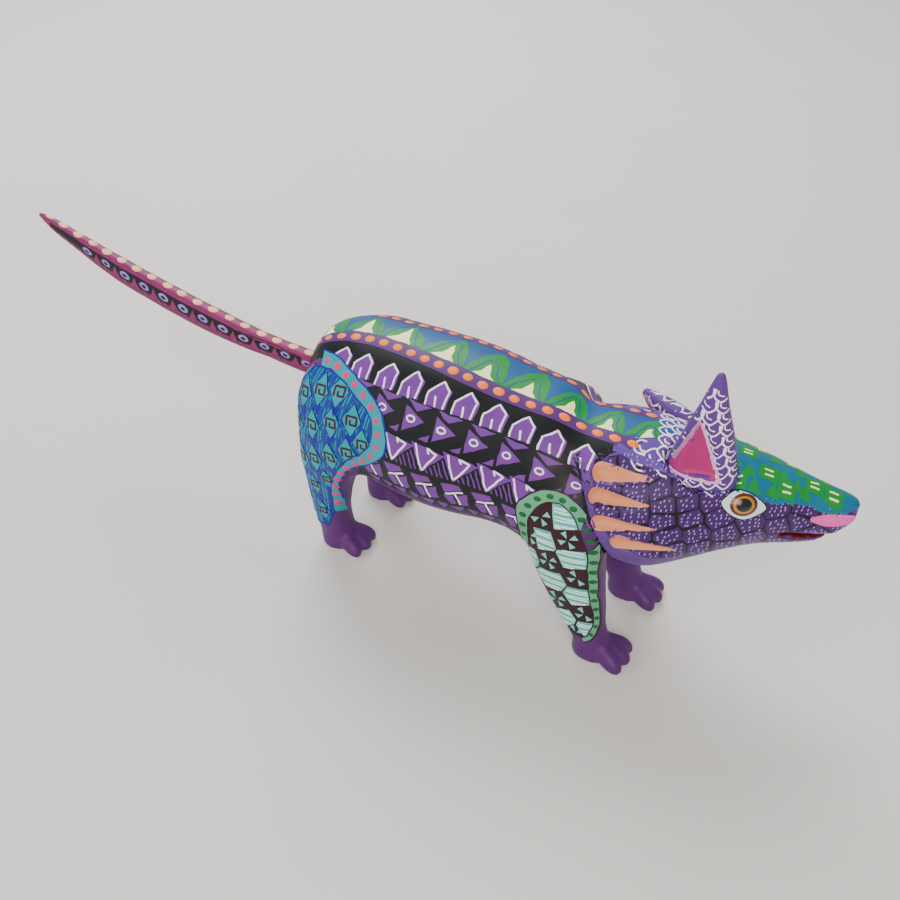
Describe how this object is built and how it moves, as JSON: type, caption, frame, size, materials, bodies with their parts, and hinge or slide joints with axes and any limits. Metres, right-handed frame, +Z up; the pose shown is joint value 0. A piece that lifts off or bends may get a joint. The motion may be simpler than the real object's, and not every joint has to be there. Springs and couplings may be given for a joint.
{
  "type": "carved wooden opossum figure",
  "caption": "Carved and painted wooden opossum standing on flat paws, with a long raised tail, a pointed snout turned to its left and pull-off ears and tail.",
  "frame": {"origin": "on the table, under the middle of the figure's bounding box", "axes": "+X forward along the spine, +Y to the animal's left, +Z up"},
  "size_m": [0.2864, 0.055, 0.1038],
  "materials": {
    "trunk_paint": "satin acrylic, black and violet bands under a green and blue spine band",
    "head_paint": "satin acrylic, violet scales with peach gills",
    "ear_paint": "satin acrylic, violet with white scallops",
    "tail_paint": "satin acrylic, magenta with peach dots",
    "hind_leg_paint": "satin acrylic, turquoise with dark blue",
    "front_leg_paint": "satin acrylic, sage and mint with maroon",
    "dowel_wood": "bare hardwood"
  },
  "bodies": {
    "figure": {"trunk": "trunk_paint", "head": "head_paint", "right_hind_leg": "hind_leg_paint", "left_hind_leg": "hind_leg_paint", "right_front_leg": "front_leg_paint", "left_front_leg": "front_leg_paint", "right_hind_dowel": "dowel_wood", "left_hind_dowel": "dowel_wood", "right_front_dowel": "dowel_wood", "left_front_dowel": "dowel_wood", "neck_dowel": "dowel_wood"},
    "tail": {"tail": "tail_paint"},
    "right_ear": {"right_ear": "ear_paint"},
    "left_ear": {"left_ear": "ear_paint"}
  },
  "joints": [
    {"name": "tail_pull", "type": "slide", "parent": "figure", "child": "tail", "axis": [-1, 0, 0], "range_m": [0, 0.02]},
    {"name": "right_ear_pull", "type": "slide", "parent": "figure", "child": "right_ear", "axis": [-0.0116, -0.0466, 0.9988], "range_m": [0, 0.012]},
    {"name": "left_ear_pull", "type": "slide", "parent": "figure", "child": "left_ear", "axis": [-0.9172, 0.3132, 0.2461], "range_m": [0, 0.012]}
  ]
}
